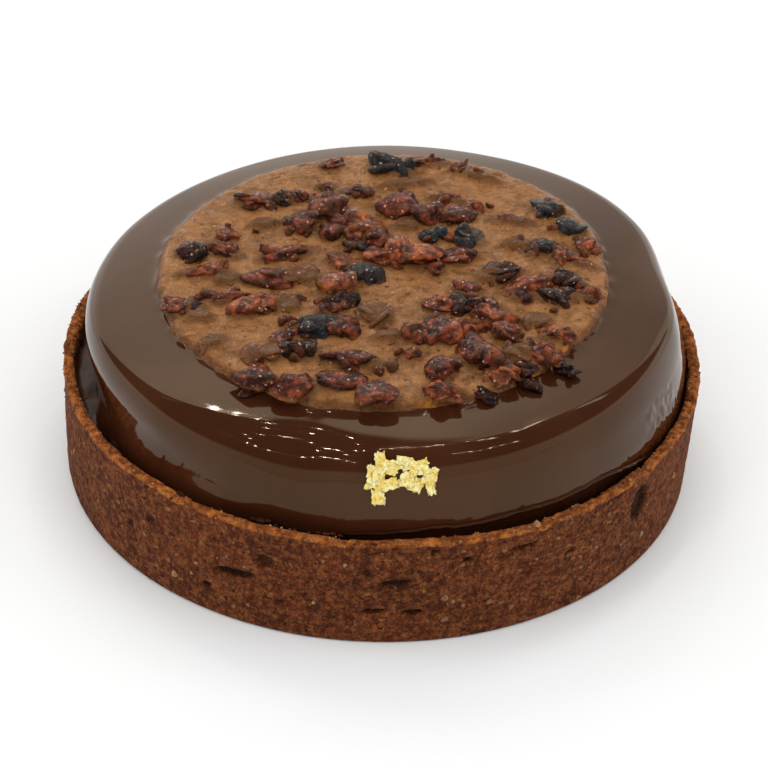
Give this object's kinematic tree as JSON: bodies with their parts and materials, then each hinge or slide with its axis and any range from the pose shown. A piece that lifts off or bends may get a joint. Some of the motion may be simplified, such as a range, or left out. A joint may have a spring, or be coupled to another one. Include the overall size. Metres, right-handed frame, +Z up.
{
  "type": "chocolate tart",
  "caption": "Round individual tart: a thin baked cocoa case, a dark filling, a glossy glazed mousse disc, and a caramel and nib top with a fleck of gold leaf.",
  "frame": {"origin": "middle of the flat underside of the case", "axes": "+Z up through the tart, -Y towards the side with the gold leaf, +X to the right seen from that side"},
  "size_m": [0.08, 0.08, 0.0305],
  "materials": {
    "baked_case": "matt, fine-grained baked cocoa pastry with open pores and a paler crumbly rim",
    "dark_filling": "smooth dark chocolate filling, soft gloss",
    "cocoa_glaze": "wet mirror-gloss cocoa glaze",
    "nib_caramel": "wet milk caramel with cocoa nibs in it",
    "gold_leaf": "crumpled edible gold leaf"
  },
  "bodies": {
    "root": {"crust": "baked_case", "filling": "dark_filling", "glazed_mousse": "cocoa_glaze", "nib_caramel": "nib_caramel", "gold_leaf": "gold_leaf"}
  },
  "joints": []
}
